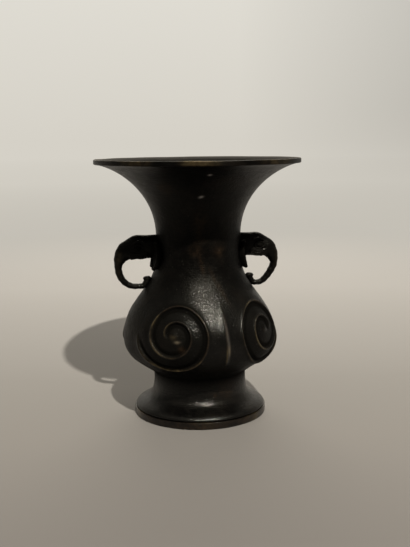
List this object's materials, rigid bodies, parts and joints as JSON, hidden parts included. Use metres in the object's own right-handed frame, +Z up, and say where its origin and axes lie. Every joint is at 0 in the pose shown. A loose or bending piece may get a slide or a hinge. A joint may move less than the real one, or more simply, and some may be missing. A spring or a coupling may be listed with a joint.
{
  "type": "baluster vase",
  "caption": "Small dark cast bronze baluster vase with a flared rim, scroll relief on the belly, a waisted foot and elephant-head handles.",
  "frame": {"origin": "middle of the foot ring's underside, on the table", "axes": "+Z up along the vase's axis, +X through the right handle, -Y towards the front"},
  "size_m": [0.1194, 0.1194, 0.15],
  "materials": {
    "patinated_bronze": "satin dark brown patina with golden wear on the ridges",
    "base_bronze": "dull brown cast surface",
    "pin_bronze": "dull hammered bronze",
    "solder": "dull grey soft solder"
  },
  "bodies": {
    "root": {"neck_casting": "patinated_bronze", "belly_casting": "patinated_bronze", "foot_casting": "patinated_bronze", "left_handle": "patinated_bronze", "right_handle": "patinated_bronze", "base_plate": "base_bronze", "left_head_pin": "pin_bronze", "left_trunk_pin": "pin_bronze", "right_head_pin": "pin_bronze", "right_trunk_pin": "pin_bronze", "neck_solder": "solder", "foot_solder": "solder", "base_solder": "solder"}
  },
  "joints": []
}
